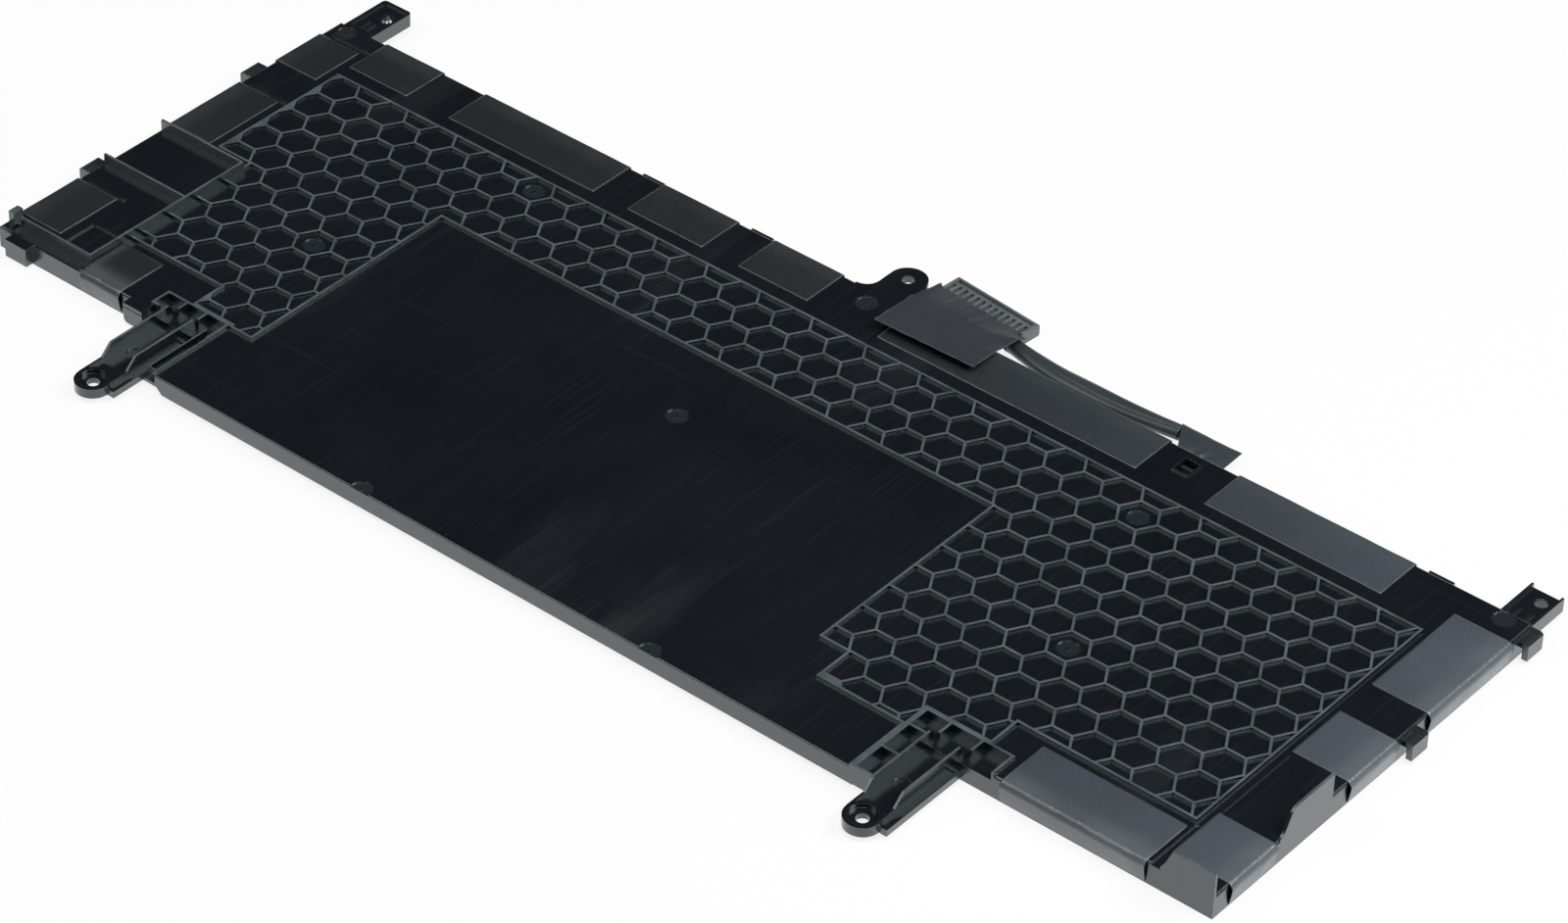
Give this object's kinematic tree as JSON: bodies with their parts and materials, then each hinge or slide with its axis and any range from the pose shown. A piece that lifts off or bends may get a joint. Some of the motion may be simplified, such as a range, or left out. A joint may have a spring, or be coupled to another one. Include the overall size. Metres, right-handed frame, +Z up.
{
  "type": "laptop battery",
  "caption": "Flat internal lithium laptop battery: honeycomb-ribbed moulded tray over a row of pouch cells, with screw arms, hooks, edge tapes and a short taped harness with a flat connector.",
  "frame": {"origin": "middle of the battery's box in plan, at the level of its underside, which lies on the table", "axes": "+X along the long back edge towards the corner with the tall flanges, +Y towards the back edge with the harness and the rear screw ear, +Z up through the ribbed face"},
  "size_m": [0.2854, 0.1322, 0.0095],
  "materials": {
    "moulded_tray": "satin moulded black plastic",
    "cell_pouch": "pouch laminate",
    "nickel": "nickel strip",
    "board": "solder mask",
    "chips": "moulded chip bodies",
    "bead": "ceramic and epoxy",
    "insulation": "polyimide film",
    "adhesive": "acrylic adhesive pad",
    "film": "black polyester film",
    "tape": "thin black polyester tape",
    "wrap_tape": "black wrapping tape",
    "connector": "translucent off-white nylon",
    "contacts": "tin over bronze",
    "wires": "insulated wire",
    "flap": "black polyester sheet"
  },
  "bodies": {
    "root": {"tray": "moulded_tray", "cell_1": "cell_pouch", "cell_1_tabs": "nickel", "cell_2": "cell_pouch", "cell_2_tabs": "nickel", "cell_3": "cell_pouch", "cell_3_tabs": "nickel", "cell_4": "cell_pouch", "cell_4_tabs": "nickel", "cell_5": "cell_pouch", "cell_5_tabs": "nickel", "cell_6": "cell_pouch", "cell_6_tabs": "nickel", "protection_board": "board", "switch_chips": "chips", "gauge_chip": "chips", "cell_fuse": "bead", "current_shunt": "chips", "board_small_parts": "chips", "series_links": "nickel", "temperature_sensors": "bead", "tab_insulation": "insulation", "cell_pads": "adhesive", "bottom_film": "film", "back_tape_1": "tape", "back_tape_2": "tape", "back_tape_3": "tape", "back_tape_4": "tape", "back_tape_5": "tape", "back_tape_6": "tape", "left_tape_1": "tape", "left_tape_2": "tape", "left_tape_3": "tape", "right_tape_1": "tape", "right_tape_2": "tape", "right_tape_3": "tape", "front_tape_1": "tape", "front_tape_2": "tape", "harness_wrap": "wrap_tape", "harness_cable": "wrap_tape", "connector_housing": "connector", "connector_contacts": "contacts", "connector_wires": "wires", "connector_flap": "flap"}
  },
  "joints": []
}
